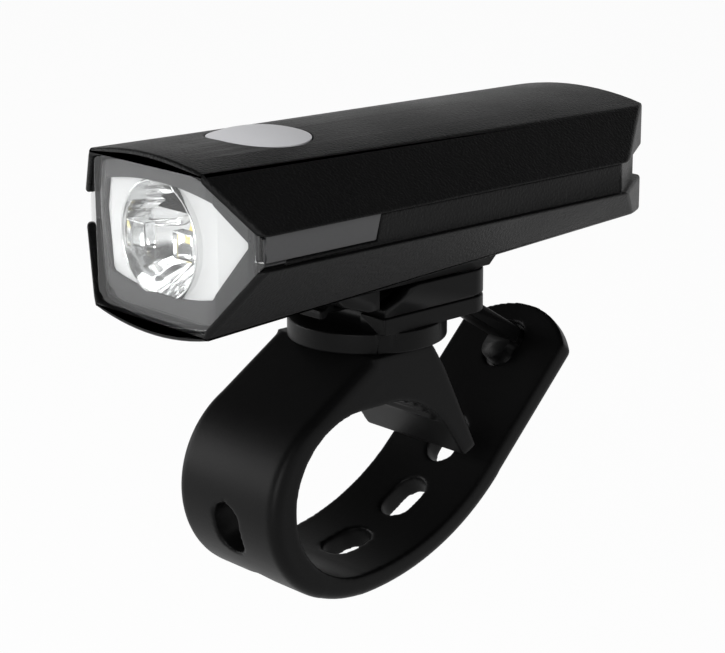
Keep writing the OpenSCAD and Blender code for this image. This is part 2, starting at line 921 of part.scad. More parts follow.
// Lugs that hold the flap's hinge pins
module flap_ears() {
    for (s = [-1, 1])
        translate([s * 5.75, 0, 0])
            along_x(1.6)
                polygon([
                    [y_rear - 1.2, hinge_z - 0.85],
                    [hinge_y + 0.5, hinge_z - 0.85],
                    [hinge_y + 0.85, hinge_z - 0.4],
                    [hinge_y + 0.85, hinge_z + 0.35],
                    [hinge_y + 0.35, hinge_z + 0.65],
                    [y_rear - 1.2, hinge_z + 0.65]
                ]);
}

module usb_flap() {
    y0 = y_rear - flap_depth + 0.1;
    color(soft_black)
        union() {
            translate([-flap_hw, y0, flap_z0])
                cube([2 * flap_hw, hinge_y - 0.2 - y0, flap_z1 - flap_z0]);
            translate([-usb_w / 2, y0 - 0.5, z_usb - usb_h / 2 + 0.6])
                cube([usb_w, 1, usb_h - 0.9]);
            translate([-4.6, y0 + 0.3, hinge_z])
                cube([9.2, hinge_y - 0.2 - y0 - 0.3, flap_z0 - hinge_z + eps]);
            translate([0, hinge_y, hinge_z])
                rotate([0, 90, 0]) {
                    cylinder(r = hinge_r, h = 9.2, center = true, $fn = 32);
                    cylinder(r = pin_r, h = 12, center = true, $fn = 32);
                }
        }
}

// Optics

module front_lens() {
    color([0.82, 0.85, 0.88, 0.45])
        lens_body();
}

module lens_seal() {
    color([0.2, 0.2, 0.21])
        intersection() {
            difference() {
                front_plate(d_lens, d_frame, rim_gap);
                intersection() {
                    section_prism(rim_gap + seal_w, y_front - 6, y_rear);
                    roof_round(rim_gap + seal_w);
                    floor_round(rim_gap + seal_w);
                    translate([-frame_hw + seal_w, y_front - 6, z_under])
                        cube([2 * (frame_hw - seal_w), lamp_len, z_over - z_under]);
                }
            }
            translate([-frame_hw, y_front - 1, z_under])
                cube([2 * frame_hw, front_bevel + 10, z_over - z_under]);
        }
}

module lens_frame() {
    color([0.5, 0.5, 0.52])
        difference() {
            intersection() {
                front_plate(d_frame, d_plate, rim_gap + 0.05);
                translate([-frame_hw, y_front - 1, z_under])
                    cube([2 * frame_hw, front_bevel + 10, z_over - z_under]);
            }
            along_y(y_front - 6, y_rear)
                intersection() {
                    polygon([
                        [half_w - 4.15, lamp_z + 0.5],
                        [roof_w / 2 - 2.45, z_roof - 2.65],
                        [-roof_w / 2 + 2.45, z_roof - 2.65],
                        [-half_w + 4.15, lamp_z + 0.5],
                        [-floor_w / 2 + 2.5, z_floor + 3],
                        [floor_w / 2 - 2.5, z_floor + 3]
                    ]);
                    translate([0, z_roof + roof_crown - roof_R])
                        circle(r = roof_R - 4.4, $fn = 180);
                    translate([0, z_floor - floor_crown + floor_R])
                        circle(r = floor_R - 5.1, $fn = 180);
                }
        }
}

// Points of the parabola from the rim to the lamp's hole
function bowl_r_at(t) = bowl_r + (hole_r - bowl_r) * t;
bowl_curve = [
    for (i = [0 : 16])
        let (r = bowl_r_at(i / 16))
        [r, (bowl_r * bowl_r - r * r) / (4 * bowl_f)]
];

module reflector() {
    back = [
        for (i = [16 : -1 : 0])
            [bowl_curve[i][0] + bowl_wall, bowl_curve[i][1]]
    ];
    color([0.86, 0.87, 0.88])
        union() {
            difference() {
                intersection() {
                    front_plate(d_plate, d_plate + plate_t, rim_gap + 0.1);
                    translate([-frame_hw, y_front - 1, z_under])
                        cube([2 * frame_hw, front_bevel + 10, z_over - z_under]);
                }
                translate([0, y_front - 1, z_bowl])
                    rotate([-90, 0, 0])
                        cylinder(r = bowl_r + bowl_wall / 2, h = 20);
            }
            intersection() {
                translate([0, y_plate, z_bowl])
                    rotate([-90, 0, 0])
                        rotate_extrude()
                            polygon(concat(bowl_curve, back));
                lamp_room(0.15);
            }
        }
}

module led_emitter() {
    color([0.95, 0.9, 0.6])
        translate([0, y_board, z_bowl])
            rotate([90, 0, 0]) {
                linear_extrude(height = 0.9)
                    square(3.4, center = true);
                translate([0, 0, 0.5])
                    intersection() {
                        sphere(r = 1.6, $fn = 48);
                        cylinder(r = 2, h = 3);
                    }
            }
}

module led_board() {
    color([0.9, 0.9, 0.9])
        translate([0, y_board, z_bowl])
            rotate([-90, 0, 0])
                difference() {
                    cylinder(r = led_board_r, h = led_board_t);
                    for (s = [-1, 1])
                        translate([s * led_screw_x, 0, -1])
                            cylinder(r = 1, h = 5);
                }
}

module led_screws() {
    color(steel)
        for (s = [-1, 1])
            translate([s * led_screw_x, y_board, z_bowl])
                rotate([-90, 0, 0])
                    screw_up(0.9, led_board_t + led_screw_in, 1.4, 0.8);
}

module heat_sink() {
    color([0.72, 0.73, 0.75])
        difference() {
            intersection() {
                translate([-sink_hw, y_sink, z_under])
                    cube([2 * sink_hw, sink_t, z_over - z_under]);
                lamp_room(0.15);
            }
            translate([-switch_w / 2 - fit, y_button - switch_w / 2 - fit, pcb_top - fit])
                cube([switch_w + 2 * fit, 2 * switch_w, z_over - pcb_top]);
            translate([0, y_button, z_flange - button_travel - fit])
                linear_extrude(height = 20)
                    stadium(button_l + 2 * (flange_w + fit), button_w + 2 * (flange_w + fit));
            for (s = [-1, 1]) {
                translate([s * led_screw_x, y_sink - 1, z_bowl])
                    rotate([-90, 0, 0])
                        cylinder(r = 0.95, h = 1 + led_screw_in + fit);
                translate([s * lead_x, y_sink - 1, pcb_top + 0.6])
                    rotate([-90, 0, 0])
                        cylinder(r = 0.9, h = 10);
            }
        }
}

module led_leads() {
    color([0.6, 0.1, 0.08])
        for (s = [-1, 1])
            lead([[s * lead_x, y_sink, pcb_top + 0.6], [s * lead_x, y_sink1 + 2.6, pcb_top + 0.6]], lead_r);
}

// Electronics

module main_pcb() {
    color([0.08, 0.3, 0.16])
        difference() {
            translate([0, 0, pcb_z])
                linear_extrude(height = pcb_t)
                    polygon([
                        [-pcb_hw, pcb_y0], [pcb_hw, pcb_y0], [pcb_hw, pcb_y1], [6.6, pcb_y1],
                        [6.6, usb_y1 - 0.4], [-6.6, usb_y1 - 0.4], [-6.6, pcb_y1], [-pcb_hw, pcb_y1]
                    ]);
            for (s = [-1, 1], y = pcb_screw_y)
                translate([s * pcb_screw_x, y, pcb_z - 1])
                    cylinder(r = 0.9, h = 4);
        }
}

module pcb_screws() {
    color(steel)
        for (s = [-1, 1], y = pcb_screw_y)
            translate([s * pcb_screw_x, y, pcb_z])
                screw_up(0.8, pcb_t + 2.2, 1.5, 0.7);
}

module tact_switch() {
    color([0.15, 0.15, 0.16])
        translate([0, y_button, pcb_top])
            difference() {
                translate([-switch_w / 2, -switch_w / 2, 0])
                    cube([switch_w, switch_w, switch_h]);
                translate([0, 0, switch_h - 1.95])
                    cylinder(r = plunger_r + fit, h = 5);
            }
}

module switch_plunger() {
    color([0.75, 0.1, 0.1])
        translate([0, y_button, z_plunger - 1.8])
            cylinder(r = plunger_r, h = 1.8);
}

module status_leds() {
    color([0.9, 0.95, 0.9])
        for (s = [-1, 1])
            translate([s * status_x - status_l / 2, y_button - 0.4, pcb_top])
                cube([status_l, 0.8, 0.7]);
}

module usb_socket() {
    color(steel)
        difference() {
            translate([-usb_w / 2, usb_y1 - 7.6, pcb_top])
                cube([usb_w, 7.5, usb_h]);
            translate([-usb_w / 2 + 0.4, usb_y1 - 6.6, pcb_top + 0.4])
                cube([usb_w - 0.8, 8, usb_h - 0.8]);
        }
}

module battery() {
    color([0.55, 0.57, 0.6])
        translate([-cell_hw, cell_y0, z_cell])
            cube([2 * cell_hw, cell_y1 - cell_y0, cell_t]);
}

module battery_pad() {
    color([0.25, 0.25, 0.26])
        translate([-cell_hw + 0.5, cell_y0 + 1, z_pad])
            cube([2 * cell_hw - 1, cell_y1 - cell_y0 - 2, pad_t]);
}

module battery_leads() {
    color([0.6, 0.1, 0.08])
        for (s = [-1, 1])
            lead([
                [s * 6, cell_y0, z_cell + cell_t / 2],
                [s * 6, cell_y0 - 1.6, z_cell + cell_t / 2],
                [s * 6, cell_y0 - 1.6, pcb_z]
            ], lead_r);
}

// Button

module power_button() {
    dome = button_l / 2;
    sag = button_rise + 0.4;
    dome_R = (dome * dome + sag * sag) / (2 * sag);
    color([0.55, 0.55, 0.56])
        union() {
            intersection() {
                translate([0, y_button, z_button - wall - 1])
                    linear_extrude(height = wall + 4)
                        stadium(button_l, button_w);
                translate([0, y_button, z_button + button_rise - dome_R])
                    sphere(r = dome_R, $fn = 180);
            }
            intersection() {
                translate([0, y_button, z_g1])
                    linear_extrude(height = 20)
                        stadium(button_l + 2 * flange_w, button_w + 2 * flange_w);
                difference() {
                    roof_round(wall + fit);
                    roof_round(wall + fit + flange_t);
                }
            }
            translate([0, y_button, z_plunger])
                cylinder(r = plunger_r - 0.2, h = z_button - wall - z_plunger);
        }
}

rubber_strap();
bracket_base();
swivel_clip();
pivot_washer();
pivot_screw();
release_tongue();
mount_foot();
foot_screws();
lower_case();
top_cover();
case_seal();
case_screws();
front_lens();
lens_seal();
lens_frame();
reflector();
led_emitter();
led_board();
led_screws();
heat_sink();
led_leads();
main_pcb();
pcb_screws();
tact_switch();
switch_plunger();
status_leds();
usb_socket();
battery();
battery_pad();
battery_leads();
power_button();
usb_flap();
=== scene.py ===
"""Bike headlight: a slim faceted lamp on a swivelling quick-release bracket with a rubber strap.

Metres, in the part's own frame: origin on the handlebar's axis, +X along the bar, +Y to the rider, +Z up.
"""

import math

import bmesh
import bpy
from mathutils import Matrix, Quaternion, Vector
from mathutils.bvhtree import BVHTree


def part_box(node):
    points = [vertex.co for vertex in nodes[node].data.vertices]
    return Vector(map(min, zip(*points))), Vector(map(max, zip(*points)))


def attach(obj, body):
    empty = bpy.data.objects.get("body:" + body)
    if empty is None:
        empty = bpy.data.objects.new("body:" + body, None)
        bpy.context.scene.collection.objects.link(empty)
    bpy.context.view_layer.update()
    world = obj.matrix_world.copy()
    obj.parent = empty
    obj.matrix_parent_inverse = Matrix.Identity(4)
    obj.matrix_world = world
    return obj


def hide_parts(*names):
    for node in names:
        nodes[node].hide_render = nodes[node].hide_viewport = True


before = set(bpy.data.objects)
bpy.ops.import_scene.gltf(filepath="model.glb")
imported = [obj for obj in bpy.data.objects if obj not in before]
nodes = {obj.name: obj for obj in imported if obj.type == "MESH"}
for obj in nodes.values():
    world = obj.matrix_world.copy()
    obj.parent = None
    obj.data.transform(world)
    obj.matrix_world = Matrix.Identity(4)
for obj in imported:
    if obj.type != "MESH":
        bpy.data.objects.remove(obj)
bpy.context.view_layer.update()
scene = bpy.context.scene
scene.view_settings.view_transform = "Standard"


# Camera. A long lens at the lamp's front right corner, a little above it, as in the photograph.
# The picture is 725 by 653 pixels, and its focal length of 2200 pixels is a 109 mm lens.
PICTURE_W = 725
FOCAL_PX = 2200
SENSOR_W = 36.0
AZIMUTH = math.radians(47.733)
ELEVATION = math.radians(15.691)
ROLL = math.radians(-0.317)
CAMERA_PLACE = (0.23564, -0.20414, 0.11080)
CLIP_NEAR = 0.01
CLIP_FAR = 20
camera = bpy.data.objects.new("camera", bpy.data.cameras.new("camera"))
scene.collection.objects.link(camera)
camera.data.sensor_width = SENSOR_W
camera.data.lens = FOCAL_PX / PICTURE_W * SENSOR_W
camera.data.clip_start = CLIP_NEAR
camera.data.clip_end = CLIP_FAR
towards_camera = Vector((
    math.sin(AZIMUTH) * math.cos(ELEVATION),
    -math.cos(AZIMUTH) * math.cos(ELEVATION),
    math.sin(ELEVATION),
))
camera.location = CAMERA_PLACE
camera.rotation_mode = "QUATERNION"
camera.rotation_quaternion = (-towards_camera).to_track_quat("-Z", "Y") @ Quaternion((0, 0, 1), ROLL)
scene.camera = camera


# Studio. A white sweep round the lamp with a dark ceiling, so that matt black faces that look up stay
# black and those that look along the floor turn grey. The floor lies below the handlebar's height.
FLOOR_Z = -0.065
FLOOR_R = 3.0
FLOOR_SIDES = 64
FLOOR_GREY = 0.8
BACKGROUND_SHARE = 0.96
WHITE_TO_SINE = 0.22
DARK_FROM_SINE = 0.5
CEILING_GREY = 0.02
WHITE = (1, 1, 1, 1)


def new_material(name):
    material = bpy.data.materials.new(name)
    material.use_nodes = True
    material.node_tree.nodes.clear()
    return material, material.node_tree


def link(tree, source, target):
    tree.links.new(source, target)


def sees_background(tree):
    """1 for camera, glossy and transmission rays, which see the white background."""
    path = tree.nodes.new("ShaderNodeLightPath")
    first = tree.nodes.new("ShaderNodeMath")
    first.operation = "MAXIMUM"
    link(tree, path.outputs["Is Camera Ray"], first.inputs[0])
    link(tree, path.outputs["Is Glossy Ray"], first.inputs[1])
    both = tree.nodes.new("ShaderNodeMath")
    both.operation = "MAXIMUM"
    link(tree, first.outputs[0], both.inputs[0])
    link(tree, path.outputs["Is Transmission Ray"], both.inputs[1])
    return both.outputs[0]


def studio_floor():
    material, tree = new_material("studio_floor")
    diffuse = tree.nodes.new("ShaderNodeBsdfDiffuse")
    diffuse.inputs["Color"].default_value = (FLOOR_GREY, FLOOR_GREY, FLOOR_GREY, 1)
    glow = tree.nodes.new("ShaderNodeEmission")
    glow.inputs["Color"].default_value = WHITE
    share = tree.nodes.new("ShaderNodeMath")
    share.operation = "MULTIPLY"
    share.inputs[1].default_value = BACKGROUND_SHARE
    link(tree, sees_background(tree), share.inputs[0])
    mix = tree.nodes.new("ShaderNodeMixShader")
    link(tree, share.outputs[0], mix.inputs[0])
    link(tree, diffuse.outputs[0], mix.inputs[1])
    link(tree, glow.outputs[0], mix.inputs[2])
    out = tree.nodes.new("ShaderNodeOutputMaterial")
    link(tree, mix.outputs[0], out.inputs["Surface"])
    return material


def add_floor():
    mesh = bpy.data.meshes.new("floor")
    bm = bmesh.new()
    bmesh.ops.create_circle(bm, cap_ends=True, radius=FLOOR_R, segments=FLOOR_SIDES)
    bmesh.ops.translate(bm, vec=(0, 0, FLOOR_Z), verts=bm.verts)
    bm.to_mesh(mesh)
    bm.free()
    mesh.materials.append(studio_floor())
    floor = bpy.data.objects.new("floor", mesh)
    scene.collection.objects.link(floor)


def light_world():
    """White up to 13 degrees above the horizon, then falling to a dark ceiling at 30 degrees.

    Camera rays see only white.
    """
    world = bpy.data.worlds.new("studio")
    scene.world = world
    world.use_nodes = True
    tree = world.node_tree
    tree.nodes.clear()
    coordinates = tree.nodes.new("ShaderNodeTexCoord")
    split = tree.nodes.new("ShaderNodeSeparateXYZ")
    link(tree, coordinates.outputs["Generated"], split.inputs[0])
    ramp = tree.nodes.new("ShaderNodeValToRGB")
    bright, dark = ramp.color_ramp.elements
    bright.position = WHITE_TO_SINE
    bright.color = WHITE
    dark.position = DARK_FROM_SINE
    dark.color = (CEILING_GREY, CEILING_GREY, CEILING_GREY, 1)
    link(tree, split.outputs["Z"], ramp.inputs[0])
    path = tree.nodes.new("ShaderNodeLightPath")
    mix = tree.nodes.new("ShaderNodeMix")
    mix.data_type = "RGBA"
    link(tree, path.outputs["Is Camera Ray"], mix.inputs["Factor"])
    link(tree, ramp.outputs[0], mix.inputs["A"])
    mix.inputs["B"].default_value = WHITE
    background = tree.nodes.new("ShaderNodeBackground")
    link(tree, mix.outputs["Result"], background.inputs["Color"])
    out = tree.nodes.new("ShaderNodeOutputWorld")
    link(tree, background.outputs[0], out.inputs["Surface"])


def area_lamp(name, place, aim, size, watts, mirrored=True):
    data = bpy.data.lights.new(name, "AREA")
    data.shape = "DISK"
    data.size = size
    data.energy = watts
    lamp = bpy.data.objects.new(name, data)
    scene.collection.objects.link(lamp)
    lamp.location = place
    lamp.rotation_mode = "QUATERNION"
    lamp.rotation_quaternion = (Vector(aim) - Vector(place)).to_track_quat("-Z", "Y")
    lamp.visible_glossy = mirrored


add_floor()
light_world()
LAMP_MIDDLE = (0, 0.01, 0.03)
area_lamp("front_light", place=(0.30, -0.62, 0.22), aim=LAMP_MIDDLE, size=0.35, watts=2.4)
area_lamp("left_light", place=(-0.7, -0.4, 0.15), aim=LAMP_MIDDLE, size=0.4, watts=2)
area_lamp("top_light", place=(-0.1, -0.2, 0.9), aim=LAMP_MIDDLE, size=0.6, watts=4, mirrored=False)


# Rubber strap. One moulding of soft black rubber: the saddle under the bracket, the ring round the bar
# and the slotted tail that is pulled over the hook. Every edge is round, as it comes out of the mould.
STRAP_VOXEL = 0.00032
STRAP_SMOOTHING = 6
SMOOTHING_FACTOR = 0.5
GRAIN_DETAIL = 3
PATCH_SCALE = 90
PATCH_DETAIL = 4
GRAIN_STRENGTH = 0.5
BLUE_TINT = 1.03
JOIN_DISTANCE = 2e-6
FLAT_ANGLE = math.radians(0.3)


def moulded_grain():
    """Fine eroded texture of a mould, with slight unevenness of colour and gloss over larger stretches."""
    group = bpy.data.node_groups.new("moulded_grain", "ShaderNodeTree")
    for name, kind in (("Color", "NodeSocketColor"), ("Roughness", "NodeSocketFloat"),
                       ("Grain Scale", "NodeSocketFloat"), ("Unevenness", "NodeSocketFloat")):
        group.interface.new_socket(name, in_out="INPUT", socket_type=kind)
    for name, kind in (("Color", "NodeSocketColor"), ("Roughness", "NodeSocketFloat"),
                       ("Height", "NodeSocketFloat")):
        group.interface.new_socket(name, in_out="OUTPUT", socket_type=kind)
    given = group.nodes.new("NodeGroupInput")
    result = group.nodes.new("NodeGroupOutput")
    coordinates = group.nodes.new("ShaderNodeTexCoord")
    grain = group.nodes.new("ShaderNodeTexNoise")
    grain.inputs["Detail"].default_value = GRAIN_DETAIL
    link(group, coordinates.outputs["Object"], grain.inputs["Vector"])
    link(group, given.outputs["Grain Scale"], grain.inputs["Scale"])
    patches = group.nodes.new("ShaderNodeTexNoise")
    patches.inputs["Scale"].default_value = PATCH_SCALE
    patches.inputs["Detail"].default_value = PATCH_DETAIL
    link(group, coordinates.outputs["Object"], patches.inputs["Vector"])
    both = group.nodes.new("ShaderNodeMath")
    both.operation = "ADD"
    link(group, grain.outputs["Fac"], both.inputs[0])
    link(group, patches.outputs["Fac"], both.inputs[1])
    centred = group.nodes.new("ShaderNodeMath")
    centred.operation = "SUBTRACT"
    centred.inputs[1].default_value = 1
    link(group, both.outputs[0], centred.inputs[0])
    spread = group.nodes.new("ShaderNodeMath")
    spread.operation = "MULTIPLY"
    link(group, centred.outputs[0], spread.inputs[0])
    link(group, given.outputs["Unevenness"], spread.inputs[1])
    factor = group.nodes.new("ShaderNodeMath")
    factor.operation = "ADD"
    factor.inputs[1].default_value = 1
    link(group, spread.outputs[0], factor.inputs[0])
    tint = group.nodes.new("ShaderNodeVectorMath")
    tint.operation = "SCALE"
    link(group, given.outputs["Color"], tint.inputs[0])
    link(group, factor.outputs[0], tint.inputs["Scale"])
    gloss = group.nodes.new("ShaderNodeMath")
    gloss.operation = "MULTIPLY"
    link(group, given.outputs["Roughness"], gloss.inputs[0])
    link(group, factor.outputs[0], gloss.inputs[1])
    link(group, tint.outputs[0], result.inputs["Color"])
    link(group, gloss.outputs[0], result.inputs["Roughness"])
    link(group, grain.outputs["Fac"], result.inputs["Height"])
    return group


GRAIN = moulded_grain()


def neutral(grey):
    """A grey with a trace of blue."""
    return (grey, grey, grey * BLUE_TINT)


def moulded(name, color, roughness, specular, grain_scale, grain_depth, unevenness):
    """Moulded plastic or rubber: an even colour with the mould's fine texture in colour, gloss and bump."""
    material, tree = new_material(name)
    texture = tree.nodes.new("ShaderNodeGroup")
    texture.node_tree = GRAIN
    texture.inputs["Color"].default_value = (*color, 1)
    texture.inputs["Roughness"].default_value = roughness
    texture.inputs["Grain Scale"].default_value = grain_scale
    texture.inputs["Unevenness"].default_value = unevenness
    bump = tree.nodes.new("ShaderNodeBump")
    bump.inputs["Strength"].default_value = GRAIN_STRENGTH
    bump.inputs["Distance"].default_value = grain_depth
    link(tree, texture.outputs["Height"], bump.inputs["Height"])
    shader = tree.nodes.new("ShaderNodeBsdfPrincipled")
    shader.inputs["Specular IOR Level"].default_value = specular
    link(tree, texture.outputs["Color"], shader.inputs["Base Color"])
    link(tree, texture.outputs["Roughness"], shader.inputs["Roughness"])
    link(tree, bump.outputs["Normal"], shader.inputs["Normal"])
    out = tree.nodes.new("ShaderNodeOutputMaterial")
    link(tree, shader.outputs[0], out.inputs["Surface"])
    return material


def merged_copy(node):
    """A copy of a CAD node's mesh with its triangles joined up and flat faces made whole."""
    mesh = nodes[node].data.copy()
    for name in ("custom_normal", "sharp_edge", "sharp_face"):
        if name in mesh.attributes:
            mesh.attributes.remove(mesh.attributes[name])
    bm = bmesh.new()
    bm.from_mesh(mesh)
    bmesh.ops.remove_doubles(bm, verts=bm.verts, dist=JOIN_DISTANCE)
    bmesh.ops.dissolve_degenerate(bm, edges=bm.edges, dist=JOIN_DISTANCE)
    bmesh.ops.dissolve_limit(bm, angle_limit=FLAT_ANGLE, verts=bm.verts, edges=bm.edges)
    for face in bm.faces:
        face.smooth = True
    bm.to_mesh(mesh)
    bm.free()
    mesh.materials.clear()
    return mesh


def add_piece(name, mesh, material):
    mesh.materials.clear()
    mesh.materials.append(material)
    piece = bpy.data.objects.new(name, mesh)
    scene.collection.objects.link(piece)
    return piece


def settle(piece):
    """Turns a piece and its modifiers into a plain mesh."""
    graph = bpy.context.evaluated_depsgraph_get()
    plain = bpy.data.meshes.new_from_object(piece.evaluated_get(graph))
    piece.modifiers.clear()
    piece.data = plain
    return piece


STRAP_RUBBER = moulded("strap_rubber", color=neutral(0.003), roughness=0.42, specular=0.09,
                       grain_scale=2600, grain_depth=0.00003, unevenness=0.15)
strap = add_piece("rubber_strap_moulded", merged_copy("rubber_strap"), STRAP_RUBBER)
remesh = strap.modifiers.new("remesh", "REMESH")
remesh.mode = "VOXEL"
remesh.voxel_size = STRAP_VOXEL
remesh.use_smooth_shade = True
smooth = strap.modifiers.new("smooth", "SMOOTH")
smooth.factor = SMOOTHING_FACTOR
smooth.iterations = STRAP_SMOOTHING
settle(strap)
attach(strap, "bracket")
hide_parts("rubber_strap")


# Bracket: base with its hook, swivel clip, release tongue and the lamp's foot.
# They are injection-moulded in dark nylon, with slightly broken edges and a fine matt texture.
BRACKET_EDGE = 0.0003
SHARP_ANGLE = math.radians(25)
CLEAR_OF_FACE = 0.00001
ROOM_PER_WIDTH = 4
EDGE_SEGMENTS = 3
NORMAL_WEIGHT = 80


def mark_outer_edges(mesh, width):
    """Weighs the sharp outer edges for rounding: no other face of the piece stands in front of theirs."""
    bm = bmesh.new()
    bm.from_mesh(mesh)
    surface = BVHTree.FromBMesh(bm)
    weight = bm.edges.layers.float.new("bevel_weight_edge")
    exposed = set()
    for face in bm.faces:
        start = face.calc_center_median() + face.normal * CLEAR_OF_FACE
        if surface.ray_cast(start, face.normal)[0] is None:
            exposed.add(face)
    for edge in bm.edges:
        if len(edge.link_faces) != 2 or not edge.is_convex:
            continue
        if edge.calc_face_angle() < SHARP_ANGLE or not exposed.issuperset(edge.link_faces):
            continue
        room = math.sqrt(min(face.calc_area() for face in edge.link_faces))
        edge[weight] = min(1, room / (ROOM_PER_WIDTH * width))
    bm.to_mesh(mesh)
    bm.free()


def broken_edges(name, node, body, material, width):
    """Stands for a CAD node with its sharp outer edges rounded off."""
    mesh = merged_copy(node)
    mark_outer_edges(mesh, width)
    piece = add_piece(name, mesh, material)
    bevel = piece.modifiers.new("bevel", "BEVEL")
    bevel.width = width
    bevel.segments = EDGE_SEGMENTS
    bevel.limit_method = "WEIGHT"
    bevel.use_clamp_overlap = False
    weighted = piece.modifiers.new("normals", "WEIGHTED_NORMAL")
    weighted.mode = "FACE_AREA"
    weighted.weight = NORMAL_WEIGHT
    settle(piece)
    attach(piece, body)
    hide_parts(node)
    return piece


BRACKET_NYLON = moulded("bracket_nylon", color=neutral(0.003), roughness=0.4, specular=0.09,
                        grain_scale=3400, grain_depth=0.00003, unevenness=0.15)
for part, body in (("bracket_base", "bracket"), ("swivel_clip", "swivel"), ("release_tongue", "tongue"),
                   ("mount_foot", "lamp")):
    broken_edges(part + "_moulded", part, body, BRACKET_NYLON, BRACKET_EDGE)


# Lamp covers: lower shell and top cover, in black plastic with a fine eroded texture.
# Their edges are broken, and the front rim overhangs the lens like a visor.
CASE_EDGE = 0.0005
CASE_PLASTIC = moulded("case_plastic", color=neutral(0.0045), roughness=0.44, specular=0.12,
                       grain_scale=2600, grain_depth=0.0003, unevenness=0.3)
broken_edges("lower_case_shell", "lower_case", "lamp", CASE_PLASTIC, CASE_EDGE)
broken_edges("top_cover_shell", "top_cover", "lamp", CASE_PLASTIC, CASE_EDGE)


# Lens. One clear polycarbonate moulding: the front plate behind the visor and the two side windows.
# The windows are frosted, so they show an even grey. The plate's upper and lower edges carry painted shade,
# a near-black standing in for the rim's shaded rebate seen through them, and a thin gasket lies behind it.
LENS_EDGE = 0.00012
EDGE_STEEPNESS = 0.4
WINDOW_SETBACK = 0.0045
WINDOW_WALL = 0.0016
lens_low, lens_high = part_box("front_lens")
WINDOW_FROM_Y = lens_low.y + WINDOW_SETBACK
WINDOW_FROM_X = lens_high.x - WINDOW_WALL
WAVE_SCALE = 260
WAVE_STRENGTH = 0.04
WAVE_DEPTH = 0.0002
COAT_ROUGHNESS = 0.03


def clear_plastic(name, color, roughness, ior):
    """Clear plastic with the slight waviness of a moulding, which lets lamp light through."""
    material, tree = new_material(name)
    coordinates = tree.nodes.new("ShaderNodeTexCoord")
    waves = tree.nodes.new("ShaderNodeTexNoise")
    waves.inputs["Scale"].default_value = WAVE_SCALE
    link(tree, coordinates.outputs["Object"], waves.inputs["Vector"])
    bump = tree.nodes.new("ShaderNodeBump")
    bump.inputs["Strength"].default_value = WAVE_STRENGTH
    bump.inputs["Distance"].default_value = WAVE_DEPTH
    link(tree, waves.outputs["Fac"], bump.inputs["Height"])
    shader = tree.nodes.new("ShaderNodeBsdfPrincipled")
    shader.inputs["Base Color"].default_value = (*color, 1)
    shader.inputs["Roughness"].default_value = roughness
    shader.inputs["IOR"].default_value = ior
    shader.inputs["Coat Weight"].default_value = 1
    shader.inputs["Coat Roughness"].default_value = COAT_ROUGHNESS
    shader.inputs["Transmission Weight"].default_value = 1
    link(tree, bump.outputs["Normal"], shader.inputs["Normal"])
    open_to_light = tree.nodes.new("ShaderNodeBsdfTransparent")
    path = tree.nodes.new("ShaderNodeLightPath")
    mix = tree.nodes.new("ShaderNodeMixShader")
    link(tree, path.outputs["Is Shadow Ray"], mix.inputs[0])
    link(tree, shader.outputs[0], mix.inputs[1])
    link(tree, open_to_light.outputs[0], mix.inputs[2])
    out = tree.nodes.new("ShaderNodeOutputMaterial")
    link(tree, mix.outputs[0], out.inputs["Surface"])
    return material


LENS_CLEAR = clear_plastic("lens_clear", color=(0.97, 0.98, 0.98), roughness=0.0, ior=1.01)
WINDOW_FROSTED = moulded("window_frosted", color=neutral(0.075), roughness=0.35, specular=0.3,
                         grain_scale=1500, grain_depth=0.00001, unevenness=0.1)
# Painted shade: a near-black finish for the plate's edges, standing in for the rim's shaded rebate seen
# through the lens.
LENS_EDGE_PAINTED_SHADE = moulded("lens_edge_painted_shade", color=neutral(0.006), roughness=0.5, specular=0.1,
                          grain_scale=1500, grain_depth=0.00001, unevenness=0.1)
WINDOW_SLOT = 1
PAINTED_SHADE_SLOT = 2
lens = broken_edges("front_lens_moulded", "front_lens", "lamp", LENS_CLEAR, LENS_EDGE)
lens.data.materials.append(WINDOW_FROSTED)
lens.data.materials.append(LENS_EDGE_PAINTED_SHADE)
for face in lens.data.polygons:
    if abs(face.center.x) > WINDOW_FROM_X and face.center.y > WINDOW_FROM_Y:
        face.material_index = WINDOW_SLOT
    # Painted shade: the plate's flat-lying upper and lower edge faces take the near-black painted shade.
    elif abs(face.normal.z) > EDGE_STEEPNESS and abs(face.center.x) < WINDOW_FROM_X:
        face.material_index = PAINTED_SHADE_SLOT


def dress(material, *names):
    """Gives CAD nodes a finish in place of their plain colour."""
    for name in names:
        nodes[name].data.materials.clear()
        nodes[name].data.materials.append(material)


SEAL_RUBBER = moulded("seal_rubber", color=neutral(0.05), roughness=0.6, specular=0.3,
                      grain_scale=2400, grain_depth=0.00002, unevenness=0.1)
dress(SEAL_RUBBER, "lens_seal", "case_seal", "battery_pad")


# Lens frame. A grey satin frame behind the lens, with the hexagonal window of the reflector.
# It covers the plate's edge all round.
FRAME_EDGE = 0.0002
FRAME_GREY = moulded("frame_grey", color=neutral(0.03), roughness=0.45, specular=0.2,
                     grain_scale=2000, grain_depth=0.00001, unevenness=0.06)
broken_edges("lens_frame_moulded", "lens_frame", "lamp", FRAME_GREY, FRAME_EDGE)


# Reflector. A satin silver plate with a round, metallised bowl. The bowl's optics are soft flutes, a bar
# and wedges, and a raised rim with a bead.
CLOUD_SCALE = 400


